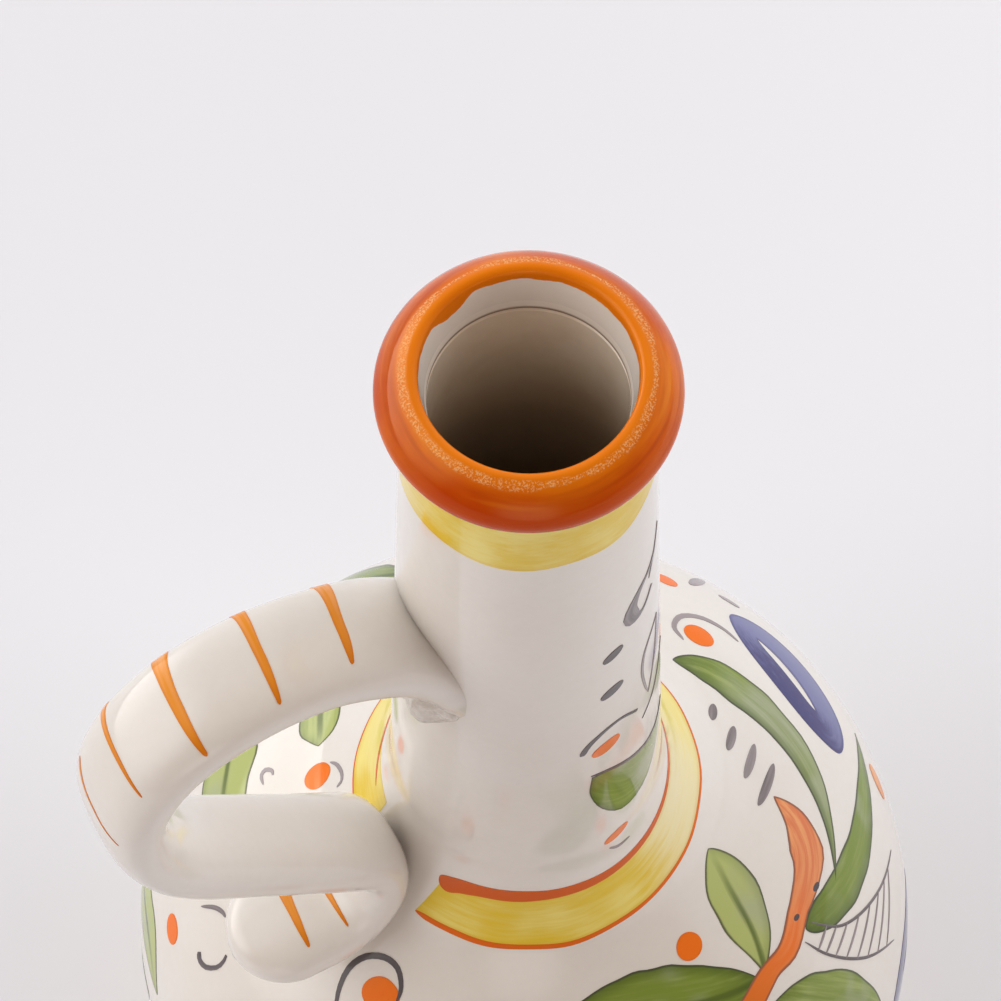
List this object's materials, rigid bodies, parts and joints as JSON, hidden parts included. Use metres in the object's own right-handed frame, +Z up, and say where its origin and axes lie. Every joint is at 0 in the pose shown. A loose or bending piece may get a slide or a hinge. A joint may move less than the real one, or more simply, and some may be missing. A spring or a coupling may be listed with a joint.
{
  "type": "oil bottle",
  "caption": "Glazed ceramic oil bottle with a round body on a foot ring, a slender tapered neck, a rolled rim and a looped strap handle with a curled tail",
  "frame": {"origin": "on the table under the foot ring, on the axis of the bottle", "axes": "+Z up along the axis of the bottle, handle along -X, strap across Y"},
  "size_m": [0.1069, 0.1036, 0.217],
  "materials": {
    "cream_glaze": "gloss",
    "orange_glaze": "gloss",
    "bare_clay": "matte"
  },
  "bodies": {
    "root": {"foot_ring": "bare_clay", "lower_body": "cream_glaze", "shoulder": "cream_glaze", "neck": "cream_glaze", "rim_ring": "orange_glaze", "handle": "cream_glaze", "root_slip": "cream_glaze"}
  },
  "joints": []
}
